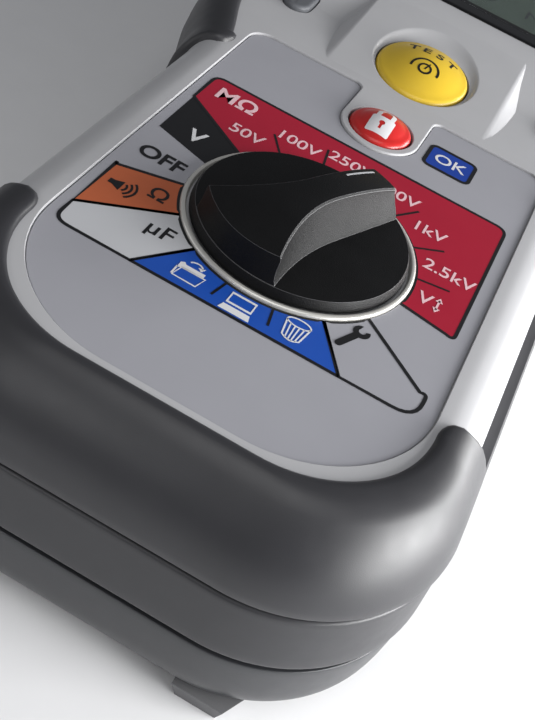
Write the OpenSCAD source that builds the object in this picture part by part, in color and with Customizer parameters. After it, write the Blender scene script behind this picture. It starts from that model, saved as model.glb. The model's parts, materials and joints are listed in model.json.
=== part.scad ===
// Hand-held insulation resistance tester, lying on its feet.
// +X is to the right of the panel, +Y towards the display end, +Z out of the panel.
// The origin is under the middle of the case, at the feet.

/* [Case] */
// Length of the whole case
body_len = 228; // [226:1:232]
// Width of the case beside the dial
waist_w = 92; // [91:0.5:94]
// Width of the case beside the display
head_w = 108; // [106:1:110]
// Radius of the rounded corners at the tail end
tail_r = 28; // [26:1:30]
// Radius of the rounded corners at the display end
head_r = 18; // [16:1:20]
// Thickness of the floor and partition walls
wall = 2.5; // [2.2:0.1:2.8]

/* [Panel] */
// Height of the printed panel above the table
panel_z = 46.5; // [46:0.1:47]
// How far the display housing stands above the panel rim
housing_rise = 5.1; // [4.8:0.1:5.4]
// Width of the printed panel
label_w = 67.2; // [66:0.2:68]
// Distance of the dial centre from the middle of the case, towards the tail
dial_offset = 53; // [52:0.5:54]

/* [Controls] */
// Radius of the knob skirt
knob_r = 19.3; // [18.8:0.1:19.5]
// Height of the knob grip above the panel
knob_h = 9.3; // [8.8:0.1:9.8]
// Number of dial steps in a full turn
dial_steps = 16; // [12:4:16]
// Radius of the test button
test_r = 10.4; // [10:0.1:10.6]
// Radius of the lock button
lock_r = 6.5; // [6.3:0.1:6.7]
// Travel of the buttons and keys
key_travel = 1.2; // [0.8:0.1:1.2]

/* [Connections] */
// Radius of the hole in each test socket
socket_r = 2.02; // [2:0.01:2.05]
// Distance between neighbouring test sockets
socket_pitch = 23; // [21:0.5:24]
// Diameter of one cell
cell_d = 14.2; // [13.8:0.1:14.3]

/* [Hidden] */
$fn = 64;

// Levels, from the table up
floor_z = 3;
cover_top_z = 18.2;
band_z = 19.2;
partition_z = 19.9;
bay_z = 21.4;
rear_top_z = 31.9;
front_z = 32.2;
board_z = 33;
board_top_z = 34.6;
rim_z = panel_z + 0.4;
label_h = 0.4;
panel_floor_z = panel_z - label_h;
panel_under_z = panel_floor_z - wall;
housing_z = rim_z + housing_rise;
bezel_h = 1.4;
head_bay_z = 11;

// Places along and across the case
dial_y = -dial_offset;
lock_y = dial_y + 42.3;
test_y = dial_y + 69.3;
test_tilt = 7;
label_tail_y = dial_y - 47.2;
label_head_y = dial_y + 54.4;
flare_start = dial_y + 38;
flare_len = 33;
cover_end_y = 6;
housing_y0 = 44;
housing_y1 = 102.2;
ramp_y0 = 19;
ramp_len = 26;
display_y = 71.5;
key_x = 32;
key_y = 22;
key_len = 11;
key_r = 3.2;
button_gap = 0.3;
flange_z = panel_under_z - 1.6;
flange_h = 1.3;
mat_top_z = flange_z - key_travel - 0.1;
finger_tail_y = dial_y - 23;
finger_head_y = dial_y + 42;
grip_turn = -360 / dial_steps;
hinge_y = 88;
hinge_z = 5.7;
rod_r = 1.5;
socket_z = 22.6;
socket_face_y = 112.6;
shaft_r = 3;
cell_len = 50.5;
cell_pitch = 15;
cell_z = floor_z + 2 + 0.2 + cell_d / 2;
cell_y0 = -104.9;
holder_y0 = -108.2;
holder_y1 = -2.4;
feed_pin_x = 7.5;
feed_pin_y = -1;
feed_pin_r = 0.8;
fuse_y = 20;
fuse_z = 27;
case_bosses = [[34.5, -78], [35.5, 0], [43, 92]];
board_posts = [[27, -84], [40, 24], [40, 82]];
cover_screw_x = 33;
cover_screw_y = -8;

// Rows of [inset at the sides, inset at the tail, height] for the lofted shells
pan_rows = [[7.5, 7.5, floor_z], [4, 4, 4], [1.8, 1.8, 6], [0.6, 0.6, 9], [0.4, 0.4, cover_top_z]];
rear_band_rows = [[0.4, 0.4, band_z], [0, 0, band_z + 1.2], [0.5, 0.5, 28], [0.9, 0.9, rear_top_z]];
front_rows = [
    [3.2, 3.4, front_z], [3.2, 4.4, 36], [3.6, 7.2, 40.5],
    [4.6, 9.6, 43.6], [6.6, 11.1, rim_z - 1.1], [9.3, 11.9, rim_z]
];
boot_rows = [
    [0.9, 0.9, front_z], [0.4, 0.4, 33.2], [0.9, 1, 37], [2, 2.8, 41],
    [3.6, 5.2, 44.5], [5.8, 8, rim_z], [8.2, 9.8, rim_z + 1], [11.2, 11.4, rim_z + 0.8]
];
boot_under_rows = concat(front_rows, [[11.4, 12.1, rim_z]]);
skin = 2.8;

// ---- outlines ----

function smooth(t) = t <= 0 ? 0 : t >= 1 ? 1 : t * t * (3 - 2 * t);
function half_w(y) = (waist_w + (head_w - waist_w) * smooth((y - flare_start) / flare_len)) / 2;
function arc(cx, cy, r, from, to, n) = [
    for (i = [0:n]) let (a = from + (to - from) * i / n) [cx + r * cos(a), cy + r * sin(a)]
];
// The tail corners of the inner outlines are rounder than a plain inset would make them
function corner_r(d) = tail_r - d + 4 * smooth((d - 6) / 5.4);
function right_side(d, e) = concat(
    arc(waist_w / 2 - d - corner_r(d), e + corner_r(d) - body_len / 2, corner_r(d), -90, 0, 8),
    [for (i = [0:8]) let (y = flare_start + flare_len * i / 8) [half_w(y) - d, y]],
    arc(head_w / 2 - head_r, body_len / 2 - head_r, head_r - d, 0, 90, 6)
);
function mirrored(side) = [for (i = [len(side) - 1:-1:0]) [-side[i][0], side[i][1]]];
function outline(d, e) = let (side = right_side(d, e)) concat(side, mirrored(side));

// Points of rows of [side inset, tail inset, height], one outline to a row
function row_points(rows) = [for (row = rows) for (p = outline(row[0], row[1])) [p[0], p[1], row[2]]];

// The two triangles between point i of row k and point j of row k + 1, with n points to a row
function quad(k, l, i, j, n, flip) = flip
    ? [[k * n + i, l * n + i, k * n + j], [l * n + i, l * n + j, k * n + j]]
    : [[k * n + i, l * n + i, l * n + j], [k * n + i, l * n + j, k * n + j]];

function raised(row, h) = [row[0], row[1], row[2] + h];

// A block lofted through rows, run on past both ends and trimmed flat at the first and last heights
module loft(rows) {
    n = len(outline(0, 0));
    last = rows[len(rows) - 1];
    run = concat([raised(rows[0], -1)], rows, [raised(last, 1)]);
    m = len(run);
    bottom = [for (i = [0:n - 1]) i];
    top = [for (i = [n - 1:-1:0]) (m - 1) * n + i];
    sides = [for (k = [0:m - 2]) for (i = [0:n - 1]) for (t = quad(k, k + 1, i, (i + 1) % n, n, false)) t];
    intersection() {
        polyhedron(points = row_points(run), faces = concat([bottom, top], sides), convexity = 6);
        box(-head_w, head_w, -body_len, body_len, rows[0][2], last[2]);
    }
}

// A closed band lofted up through the outer rows and down through the inner ones
module band(outer, inner) {
    rows = concat(outer, [for (i = [len(inner) - 1:-1:0]) inner[i]]);
    n = len(outline(0, 0));
    m = len(rows);
    faces = [
        for (k = [0:m - 1]) for (i = [0:n - 1])
            for (t = quad(k, (k + 1) % m, i, (i + 1) % n, n, k >= len(outer))) t
    ];
    polyhedron(points = row_points(rows), faces = faces, convexity = 8);
}

// An upright block with the case outline, inset at the sides and at the tail
module prism(d, e, z0, z1) {
    translate([0, 0, z0]) linear_extrude(z1 - z0) polygon(outline(d, e));
}

// ---- small shapes ----

module box(x0, x1, y0, y1, z0, z1) {
    translate([x0, y0, z0]) cube([x1 - x0, y1 - y0, z1 - z0]);
}

module disc(x, y, r, z0, z1) {
    translate([x, y, z0]) cylinder(r = r, h = z1 - z0);
}

module rounded(w, l, r) {
    square([w - 2 * r, l], center = true);
    square([w, l - 2 * r], center = true);
    for (sx = [-1, 1], sy = [-1, 1])
        translate([sx * (w / 2 - r), sy * (l / 2 - r)]) circle(r);
}

module obround(r, l) {
    square([2 * r, l], center = true);
    for (sy = [-1, 1]) translate([0, sy * l / 2]) circle(r);
}

module plate(w, l, r, z0, z1) {
    translate([0, 0, z0]) linear_extrude(z1 - z0) rounded(w, l, r);
}

module along_y(x, z, r, y0, y1) {
    translate([x, y1, z]) rotate([90, 0, 0]) cylinder(r = r, h = y1 - y0);
}

module along_x(y, z, r, x0, x1) {
    translate([x0, y, z]) rotate([0, 90, 0]) cylinder(r = r, h = x1 - x0);
}

module both_sides() {
    children();
    mirror([1, 0, 0]) children();
}

// A pan-head screw pointing up, its head from z0
module screw(x, y, z0, z1, head_r, head_h, r) {
    translate([x, y, z0]) difference() {
        union() {
            cylinder(r = head_r, h = head_h);
            cylinder(r = r, h = z1 - z0);
        }
        for (a = [0, 90]) rotate(a) translate([-head_r * 0.6, -0.35, -0.1])
            cube([head_r * 1.2, 0.7, head_h * 0.6]);
    }
}

// ---- case shells ----

// The raised island that carries the lock and test buttons and climbs to the display, its sides slanted
module island() {
    y0 = label_head_y + 0.3;
    y1 = housing_y0 + 2;
    half = 18.5;
    base = [
        [-half, y0], [half, y0], [half + 2.6, y0 + 7], [half + 3.1, y0 + 18], [half + 2.6, y0 + 29],
        [half, y1], [-half, y1], [-half - 2.6, y0 + 29], [-half - 3.1, y0 + 18], [-half - 2.6, y0 + 7]
    ];
    hull() {
        translate([0, 0, panel_under_z + 1]) linear_extrude(label_h + wall - 0.9) polygon(base);
        box(-half, half, y1 - 1, y1, rim_z, housing_z - 0.1);
    }
}

// The display housing, its near side a ramp that rises out of the panel's rim
module housing() {
    half = 42;
    low_z = rim_z - 2;
    ramp = [for (i = [0:14]) [ramp_y0 + ramp_len * i / 14, rim_z - 0.2 + (housing_rise + 0.2) * smooth(i / 14)]];
    intersection() {
        translate([-half, 0, 0]) rotate([90, 0, 90]) linear_extrude(2 * half)
            polygon(concat(ramp, [[housing_y1, housing_z], [housing_y1, low_z], [ramp_y0, low_z]]));
        translate([0, (ramp_y0 + housing_y1) / 2, 0]) plate(2 * half, housing_y1 - ramp_y0, 8, low_z, housing_z + 1);
    }
}

// The tongue that runs down into the label's notch, round the lock button
module tongue(r, top_z) {
    disc(0, lock_y, r, panel_under_z + 1, top_z);
    box(-r, r, lock_y, label_head_y + 1, panel_under_z + 1, top_z);
}

module label_shape(gap) {
    w = label_w + 2 * gap;
    tail = label_tail_y - gap;
    head = label_head_y + gap;
    big_r = 23 + gap;
    small_r = 4;
    difference() {
        polygon(concat(
            arc(w / 2 - big_r, tail + big_r, big_r, -90, 0, 12),
            arc(w / 2 - small_r, head - small_r, small_r, 0, 90, 6),
            arc(small_r - w / 2, head - small_r, small_r, 90, 180, 6),
            arc(big_r - w / 2, tail + big_r, big_r, 180, 270, 12)
        ));
        translate([0, lock_y]) circle(8.4 - gap);
        translate([gap - 8.4, lock_y]) square([16.8 - 2 * gap, 40]);
    }
}

// The dished recess round the test button, sloping up to a long far rim
module test_dish() {
    rim_x = test_r + 2.2;
    rim_y = test_r + 4.9;
    top_z = rim_z + 4.4;
    hull() {
        translate([0, test_y, rim_z]) rotate([test_tilt / 2, 0, 0]) cylinder(r = test_r + 0.8, h = 0.2);
        translate([0, test_y + 3.2, top_z]) scale([rim_x / rim_y, 1, 1]) cylinder(r = rim_y, h = 5);
    }
}

module key_hole(r, z0, z1) {
    translate([0, 0, z0]) linear_extrude(z1 - z0)
        translate([key_x, key_y]) obround(r, key_len - 2 * key_r);
}

module front_case() {
    color("lightgrey") difference() {
        union() {
            difference() {
                union() {
                    loft(front_rows);
                    island();
                    housing();
                }
                prism(5.6, 6.8, front_z - 1, 36);
                prism(6, 9.8, 35, 40.5);
                prism(7.4, 13, 40, panel_under_z);
                translate([0, 0, panel_floor_z]) linear_extrude(9) label_shape(0.15);
                translate([0, display_y, 0]) plate(72, 48, 2, 40, housing_z - 2.4);
            }
            tongue(8.1, rim_z + 0.3);
            both_sides() for (p = case_bosses) disc(p[0], p[1], 4, front_z, panel_under_z + 0.5);
            both_sides() for (p = board_posts) disc(p[0], p[1], 2.6, board_top_z, panel_under_z + 0.5);
        }
        test_dish();
        disc(0, test_y, test_r + button_gap, 40, 60);
        disc(0, lock_y, lock_r + button_gap, 40, 60);
        both_sides() key_hole(key_r + button_gap, 40, 60);
        disc(0, dial_y, 6, 40, 60);
        translate([0, display_y, 0]) plate(80.4, 53.4, 3, housing_z - bezel_h, 60);
        translate([0, display_y, 0]) plate(68, 45, 1.5, 40, 60);
        both_sides() for (p = case_bosses) disc(p[0], p[1], 1.5, front_z - 1, front_z + 9);
        both_sides() for (p = board_posts) disc(p[0], p[1], 1.1, board_top_z - 1, board_top_z + 7);
    }
}

// Plan of the gap between the tail and head parts of the rubber, its ends the rounded finger tips
module finger_gap() {
    tip = [
        [13, -8], [11.4, -4.6], [10.8, -3.1], [9.6, -1.6], [8, -0.6],
        [5.6, 0], [4.2, 0.5], [3, 1.1], [2.2, 1.8], [-2, 3]
    ];
    last = len(tip) - 1;
    translate([0, 0, 36.8]) linear_extrude(20) polygon(concat(
        [for (t = tip) [half_w(finger_tail_y) - t[0], finger_tail_y + t[1]]],
        [for (i = [0:last]) [half_w(finger_head_y) - tip[last - i][0], finger_head_y - tip[last - i][1]]]
    ));
}

module front_overmould() {
    color("dimgray") difference() {
        band(boot_rows, boot_under_rows);
        both_sides() finger_gap();
    }
}

module rear_case() {
    color("dimgray") difference() {
        union() {
            loft(pan_rows);
            prism(skin, skin, cover_top_z - 1, rear_top_z);
        }
        box(-60, 60, -130, cover_end_y + 0.4, -1, band_z);
        difference() {
            prism(5.4, 5.4, bay_z, 40);
            both_sides() for (p = case_bosses) disc(p[0], p[1], 4, 10, rear_top_z);
        }
        box(-25, 25, holder_y0 - 0.3, -99, 0, partition_z);
        box(-44, 44, -100, cover_end_y - 5, 0, partition_z);
        both_sides() disc(feed_pin_x, feed_pin_y, feed_pin_r + 0.05, 0, bay_z + 1);
        difference() {
            prism(5.4, 5.4, head_bay_z, bay_z + 1);
            box(-60, 60, -130, cover_end_y + 3, 0, 40);
            both_sides() disc(case_bosses[2][0], case_bosses[2][1], 4, 0, 40);
        }
        seal_groove();
        translate([0, 55, 0]) plate(64, 76, 3, -1, 8.6);
        along_x(hinge_y, hinge_z, rod_r, -36, 36);
        box(-35.2, 35.2, 100, 130, 13.4, 40);
        both_sides() for (p = case_bosses) disc(p[0], p[1], 1.7, 0, 40);
        both_sides() for (p = case_bosses) disc(p[0], p[1], 3.4, -1, 23.4);
        both_sides() disc(cover_screw_x, cover_screw_y, 1.6, 10, bay_z + 1);
    }
}

// Groove for the case seal, in the top edge of the rear case
module seal_groove() {
    difference() {
        prism(3.5, 3.5, rear_top_z - 0.8, 40);
        prism(4.8, 4.8, 0, 41);
    }
}

module rear_overmould() {
    color("dimgray") difference() {
        loft(rear_band_rows);
        prism(skin, skin, 0, 60);
        box(-35.2, 35.2, 100, 130, 0, 60);
    }
}

module case_seal() {
    color("black") difference() {
        prism(3.6, 3.6, rear_top_z - 0.8, front_z);
        prism(4.7, 4.7, 0, 60);
        box(-36, 36, 100, 130, 0, 60);
    }
}

module battery_cover() {
    color("dimgray") difference() {
        loft(pan_rows);
        box(-60, 60, cover_end_y, 130, -1, 40);
        difference() {
            prism(4.4, 4.4, floor_z + 2, 40);
            box(-60, 60, cover_end_y - 2, 130, 0, 40);
            both_sides() disc(cover_screw_x, cover_screw_y, 4.2, 0, partition_z - 0.3);
        }
        both_sides() disc(cover_screw_x, cover_screw_y, 1.8, 0, 40);
        both_sides() disc(cover_screw_x, cover_screw_y, 3.9, 0, floor_z + 2.6);
        box(-60, 60, cover_end_y - 3, 130, cover_top_z - 0.5, 40);
    }
}

module battery_cover_seal() {
    color("black") difference() {
        prism(3, 3, cover_top_z, band_z);
        prism(4.2, 4.2, 0, 60);
        box(-60, 60, cover_end_y - 3.2, 130, 0, 60);
    }
}

module battery_cover_screws() {
    color("silver") both_sides()
        screw(cover_screw_x, cover_screw_y, floor_z + 0.4, bay_z + 0.4, 3.6, 2.2, 1.55);
}

module case_screws() {
    color("silver") both_sides()
        for (p = case_bosses) screw(p[0], p[1], 21, front_z + 8, 3.2, 2.4, 1.45);
}

module foot(x, y) {
    translate([x, y + 5, 0]) rotate([90, 0, 0]) linear_extrude(10)
        polygon([[-3.4, 0], [3.4, 0], [4.3, floor_z], [-4.3, floor_z]]);
}

// A foot under the tail end, filling in below the round edge of the battery cover
module heel() {
    plan = [[19.6, -111.4], [26.8, -111.4], [28.6, -107.8], [28.6, -99], [19.6, -99]];
    difference() {
        hull() {
            linear_extrude(0.2) polygon(plan);
            translate([0, 0, 4.2]) linear_extrude(0.2) offset(delta = 1.1) polygon(plan);
        }
        loft(pan_rows);
    }
}

module feet() {
    color("black") both_sides() {
        heel();
        foot(40, 78);
    }
}

module stand() {
    color("dimgray") difference() {
        union() {
            translate([0, 53, 0]) plate(62, 70, 4, floor_z + 0.4, floor_z + 2.8);
            along_x(hinge_y, hinge_z, 2.5, -31, 31);
            for (x = [-24, 0, 24]) box(x - 1.2, x + 1.2, 22, 84, floor_z + 2, floor_z + 4.8);
        }
        along_x(hinge_y, hinge_z, rod_r + 0.05, -40, 40);
        disc(0, 16, 5, 0, 10);
    }
}

module stand_hinge_rod() {
    color("silver") along_x(hinge_y, hinge_z, rod_r, -35.8, 35.8);
}

// ---- dial ----

module label_overlay() {
    color("silver") difference() {
        translate([0, 0, panel_floor_z]) linear_extrude(label_h) label_shape(0);
        disc(0, dial_y, 20.9, 0, 60);
    }
}

module knob_ring() {
    color("gainsboro") translate([0, dial_y, 0]) rotate_extrude() polygon([
        [19.7, panel_floor_z], [20.8, panel_floor_z], [20.8, panel_z + 0.3],
        [20.4, panel_z + 0.7], [20, panel_z + 0.7], [19.7, panel_z + 0.4]
    ]);
}

// Half-width of the grip at a distance along it, wider towards its tail
function grip_half(p) = 5.3 + (p < 2.5 ? 0.0135 : 0.003) * (p - 2.5) * (p - 2.5);
function grip_side() = [for (i = [0:12]) let (p = 16.4 - 36 * i / 12) [grip_half(p), p]];

module range_knob() {
    skirt_z = panel_z + 2.5;
    top_z = panel_z + knob_h;
    color("black") translate([0, dial_y, 0]) rotate(grip_turn) difference() {
        union() {
            rotate_extrude() polygon([
                [0, panel_z], [knob_r, panel_z], [knob_r, skirt_z - 0.8], [knob_r - 0.8, skirt_z],
                [0, skirt_z]
            ]);
            intersection() {
                translate([0, 0, skirt_z - 1]) linear_extrude(20)
                    polygon(concat([[-3.6, 17.4], [3.6, 17.4]], grip_side(), mirrored(grip_side())));
                translate([-30, 2, top_z - 60]) rotate([0, 90, 0]) cylinder(r = 60, h = 60, $fn = 128);
                translate([0, 0, skirt_z - 1])
                    cylinder(r1 = knob_r, r2 = knob_r - 5.6, h = knob_h - 1.5);
            }
        }
        translate([0, 0, panel_z - 1]) cylinder(r = shaft_r + 0.02, h = 6.4);
    }
}

module knob_shaft() {
    color("silver") translate([0, dial_y, 0]) rotate(grip_turn) difference() {
        translate([0, 0, board_top_z + 1.4]) cylinder(r = shaft_r, h = panel_z + 5 - board_top_z - 1.4);
        translate([2.2, -5, panel_z + 0.6]) cube([5, 10, 10]);
    }
}

module shaft_bush() {
    color("goldenrod") difference() {
        union() {
            disc(0, dial_y, 6, panel_under_z - 0.4, panel_floor_z);
            disc(0, dial_y, 8, panel_under_z - 1.2, panel_under_z);
        }
        disc(0, dial_y, shaft_r + 0.05, 30, 60);
    }
}

module switch_base() {
    color("tan") difference() {
        disc(0, dial_y, 16, board_top_z, board_top_z + 1.2);
        for (i = [0:dial_steps - 1]) translate([0, dial_y, board_top_z + 0.9])
            rotate(i * 360 / dial_steps) translate([10.5, 0, 0]) cylinder(r = 0.8, h = 1);
    }
}

module switch_cover() {
    cover_z = board_top_z + 1.2;
    color("dimgray") difference() {
        disc(0, dial_y, 16, cover_z, 42);
        disc(0, dial_y, 14.4, 30, 41);
        disc(0, dial_y, shaft_r + 0.3, 30, 60);
    }
}

module switch_rotor() {
    color("white") difference() {
        disc(0, dial_y, 12.6, board_top_z + 2, board_top_z + 3.2);
        disc(0, dial_y, shaft_r, 30, 60);
    }
}

module wiper_contacts() {
    color("goldenrod") for (a = [0, 120, 240]) translate([0, dial_y, board_top_z + 1.5])
        rotate(a) translate([9.2, -1, 0]) cube([2.8, 2, 0.5]);
}

module detent_wheel() {
    lobes = 6 * dial_steps;
    color("ivory") difference() {
        translate([0, dial_y, board_top_z + 3.7]) linear_extrude(2) polygon([
            for (i = [0:lobes - 1]) let (a = 360 * i / lobes, r = 10 + 0.5 * cos(dial_steps * a))
                [r * cos(a), r * sin(a)]
        ]);
        disc(0, dial_y, shaft_r, 30, 60);
    }
}

module detent_spring() {
    z0 = board_top_z + 3.8;
    color("silver") translate([0, dial_y, 0]) rotate(180 / dial_steps) {
        box(10.8, 11.4, -1, 1, z0, z0 + 1.8);
        box(11.4, 12.2, -6, 6, z0, z0 + 1.8);
        both_ends() box(11.4, 13, 5, 6, z0, z0 + 1.8);
    }
}

module both_ends() {
    children();
    mirror([0, 1, 0]) children();
}

// ---- buttons ----

module round_button(y, r, flange_r, side_z, crown) {
    ball_r = (r * r + crown * crown) / (2 * crown);
    disc(0, y, flange_r, flange_z, flange_z + flange_h);
    disc(0, y, r, flange_z, side_z);
    translate([0, y, side_z]) intersection() {
        translate([0, 0, crown - ball_r]) sphere(ball_r, $fn = 96);
        translate([0, 0, -1]) cylinder(r = r, h = crown + 2);
    }
}

// The test button, its dome tilted with the slope of the island
module test_button() {
    crown = 2.4;
    crown_z = panel_z + 4.5;
    ball_r = (test_r * test_r + crown * crown) / (2 * crown);
    color("gold") {
        disc(0, test_y, test_r + 1.6, flange_z, flange_z + flange_h);
        intersection() {
            disc(0, test_y, test_r, flange_z, panel_z + 9);
            translate([0, test_y + ball_r * sin(test_tilt), crown_z - ball_r * cos(test_tilt)])
                sphere(ball_r, $fn = 96);
        }
    }
}

module lock_button() {
    color("firebrick") round_button(lock_y, lock_r, lock_r + 1.4, panel_z + 0.9, 1.8);
}

module key() {
    key_hole(key_r + 1.1, flange_z, flange_z + flange_h);
    key_hole(key_r, flange_z, rim_z + 0.8);
    key_hole(key_r - 0.5, rim_z, rim_z + 1.2);
}

module up_key() {
    color("gray") key();
}

module down_key() {
    color("gray") mirror([1, 0, 0]) key();
}

module keypad_mat() {
    domes = [[0, test_y, 6.5], [0, lock_y, 5], [key_x, key_y, 3.4], [-key_x, key_y, 3.4]];
    color("whitesmoke") difference() {
        union() {
            box(-36, 36, -20, 45.5, board_top_z, board_top_z + 1.2);
            for (d = domes) translate([d[0], d[1], board_top_z])
                cylinder(r1 = d[2], r2 = d[2] * 0.6, h = mat_top_z - board_top_z);
        }
        for (d = domes) translate([d[0], d[1], board_top_z - 0.1])
            cylinder(r1 = d[2] - 1, r2 = d[2] * 0.6 - 1, h = mat_top_z - board_top_z - 1.2);
        both_sides() disc(case_bosses[1][0], case_bosses[1][1], 4.4, 30, 60);
    }
}

// ---- display ----

module display_bezel() {
    color("black") translate([0, display_y, 0]) difference() {
        plate(80, 53, 2.8, housing_z - bezel_h, housing_z + 0.5);
        plate(62, 40, 1, 0, 60);
        plate(67, 45, 1.5, housing_z - 0.5, 60);
    }
}

module display_window() {
    color([0.8, 0.85, 0.85, 0.35]) translate([0, display_y, 0])
        plate(66.8, 44.8, 1.4, housing_z - 0.5, housing_z + 0.4);
}

module lcd_glass() {
    color("darkseagreen") translate([0, display_y, 0]) plate(66, 43, 0.5, housing_z - 3.6, housing_z - 1.6);
}

module lcd_backlight() {
    color("white") translate([0, display_y, 0]) plate(66, 43, 0.5, housing_z - 6.8, housing_z - 3.7);
}

module lcd_frame() {
    base_z = housing_z - 8;
    color("gray") translate([0, display_y, 0]) {
        difference() {
            plate(70, 46, 1, base_z, housing_z - 4.2);
            plate(66.4, 43.4, 0.6, base_z + 1.1, 60);
        }
        for (sx = [-1, 1], sy = [-1, 1]) disc(sx * 31, sy * 19, 1.8, board_top_z, base_z + 0.5);
    }
}

// ---- electronics ----

module main_board() {
    color("darkgreen") difference() {
        prism(8.4, 12.6, board_z, board_top_z);
        both_sides() for (p = case_bosses) disc(p[0], p[1], 4.4, 30, 40);
        both_sides() for (p = board_posts) disc(p[0], p[1], 1.3, 30, 40);
    }
}

module board_screws() {
    color("silver") both_sides()
        for (p = board_posts) screw(p[0], p[1], board_z - 1.5, board_top_z + 5, 2.4, 1.5, 1.05);
}

module processor_chips() {
    color("black") {
        box(-9, 9, -30, -12, board_z - 1.6, board_z);
        box(14, 24, -40, -30, board_z - 1.4, board_z);
        box(-26, -14, -66, -58, board_z - 2, board_z);
        disc(14, -70, 6, board_z - 6, board_z);
    }
}

module transformer_core() {
    color("dimgray") difference() {
        box(-36, -10, 50, 74, 17, 31);
        box(-32, -14, 49, 75, 20, 28);
    }
}

module transformer_winding() {
    color("peru") difference() {
        translate([-23, 62, 24]) cube([17.6, 30, 7.6], center = true);
        translate([-23, 62, 24]) cube([12, 31, 3], center = true);
    }
    color("white") box(-34, -12, 52, 72, 31, board_z);
}

module high_voltage_capacitors() {
    color("steelblue") for (i = [0:2]) box(0, 20, 46 + 11 * i, 55 + 11 * i, 18, board_z);
}

module relays() {
    color("navy") {
        box(-30, -10, 18, 29, 20, board_z);
        box(26, 37, 50, 72, 20, board_z);
    }
}

module fuse_tube() {
    color("whitesmoke") difference() {
        along_x(fuse_y, fuse_z, 2.5, 4, 24);
        along_x(fuse_y, fuse_z, 1.9, 3, 25);
    }
}

module fuse_caps() {
    color("silver") for (x = [3.4, 19]) difference() {
        along_x(fuse_y, fuse_z, 2.9, x, x + 5.6);
        along_x(fuse_y, fuse_z, 2.5, 4, 24);
    }
}

module fuse_clips() {
    color("goldenrod") for (x = [4.4, 20]) difference() {
        box(x, x + 3.6, fuse_y - 3.6, fuse_y + 3.6, fuse_z - 2.5, board_z);
        along_x(fuse_y, fuse_z, 2.9, 0, 30);
        box(x - 1, x + 5, fuse_y - 2.5, fuse_y + 2.5, fuse_z - 7, fuse_z - 1);
        box(x - 1, x + 5, fuse_y - 2, fuse_y + 2, fuse_z + 3.5, board_z - 1);
    }
}

module buzzer() {
    color("black") difference() {
        disc(31, 24, 6, board_z - 6, board_z);
        disc(31, 24, 1, board_z - 7, board_z - 4);
    }
}

module discharge_resistors() {
    color("beige") for (i = [0:3]) along_x(34 + 4.6 * (i % 2), 29 - 4.2 * floor(i / 2), 1.7, -6, 8);
}

module terminal_block() {
    color([0.1, 0.1, 0.1]) difference() {
        box(-35, 35, 89, socket_face_y, 13.6, 31.7);
        for (i = [-1:1]) {
            along_y(i * socket_pitch, socket_z, 6.4, 92, 120);
            along_y(i * socket_pitch, socket_z, 2.1, 80, 120);
        }
    }
}

module socket_liner(i) {
    x = i * socket_pitch;
    difference() {
        union() {
            along_y(x, socket_z, 6.35, 92, socket_face_y);
            along_y(x, socket_z, 8.2, socket_face_y, socket_face_y + 0.9);
        }
        along_y(x, socket_z, 5.4, 93.6, 120);
        along_y(x, socket_z, 3.2, 90, 120);
    }
}

module positive_socket() {
    color("red") socket_liner(-1);
}

module negative_socket() {
    color("black") socket_liner(1);
}

module guard_socket() {
    color("royalblue") socket_liner(0);
}

module socket_contacts() {
    color("goldenrod") for (i = [-1:1]) difference() {
        union() {
            along_y(i * socket_pitch, socket_z, 3.1, 92.1, 109.6);
            along_y(i * socket_pitch, socket_z, 2, 84, 93);
            disc(i * socket_pitch, 85.4, 0.9, socket_z + 1, board_z);
        }
        along_y(i * socket_pitch, socket_z, socket_r, 94, 120);
    }
}

// ---- battery ----

module each_cell() {
    for (i = [-1:1], j = [0, 1]) translate([i * cell_pitch, cell_y0 + j * cell_len, cell_z])
        rotate([-90, 0, 0]) children();
}

module battery_cells() {
    color("darkorange") each_cell() {
        translate([0, 0, 0.2]) cylinder(r = cell_d / 2, h = cell_len - 1.6);
        translate([0, 0, cell_len - 1.5]) cylinder(r = 2.6, h = 1.3);
    }
}

module battery_holder() {
    color([0.15, 0.15, 0.15]) difference() {
        box(-24.6, 24.6, holder_y0, holder_y1, 8, partition_z - 0.2);
        box(-22.8, 22.8, holder_y0 + 1, holder_y1 - 1, 0, 30);
    }
}

module battery_contacts() {
    color("silver") for (i = [-1:1])
        box(i * cell_pitch - 5, i * cell_pitch + 5, holder_y1 - 1.5, holder_y1 - 1.1, 8.4, 18);
}

module battery_springs() {
    color("silver") for (i = [-1:1]) translate([i * cell_pitch, holder_y0 + 1, cell_z])
        rotate([-90, 0, 0]) for (k = [0:2])
            translate([0, 0, 0.5 + 0.7 * k]) rotate_extrude($fn = 48)
                translate([4.6 - k, 0]) square([1.2, 0.7], center = true);
}

module battery_feed_pins() {
    color("goldenrod") both_sides() disc(feed_pin_x, feed_pin_y, feed_pin_r, 12, board_z);
}

front_case();
front_overmould();
rear_case();
rear_overmould();
case_seal();
battery_cover();
battery_cover_seal();
battery_cover_screws();
case_screws();
feet();
stand();
stand_hinge_rod();
label_overlay();
knob_ring();
range_knob();
knob_shaft();
shaft_bush();
switch_base();
switch_cover();
switch_rotor();
wiper_contacts();
detent_wheel();
detent_spring();
test_button();
lock_button();
down_key();
up_key();
keypad_mat();
display_bezel();
display_window();
lcd_glass();
lcd_backlight();
lcd_frame();
main_board();
board_screws();
processor_chips();
transformer_core();
transformer_winding();
high_voltage_capacitors();
relays();
fuse_tube();
fuse_caps();
fuse_clips();
buzzer();
discharge_resistors();
terminal_block();
positive_socket();
negative_socket();
guard_socket();
socket_contacts();
battery_cells();
battery_holder();
battery_contacts();
battery_springs();
battery_feed_pins();
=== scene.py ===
"""Looks of a hand-held insulation resistance tester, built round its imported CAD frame."""

import math

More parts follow.
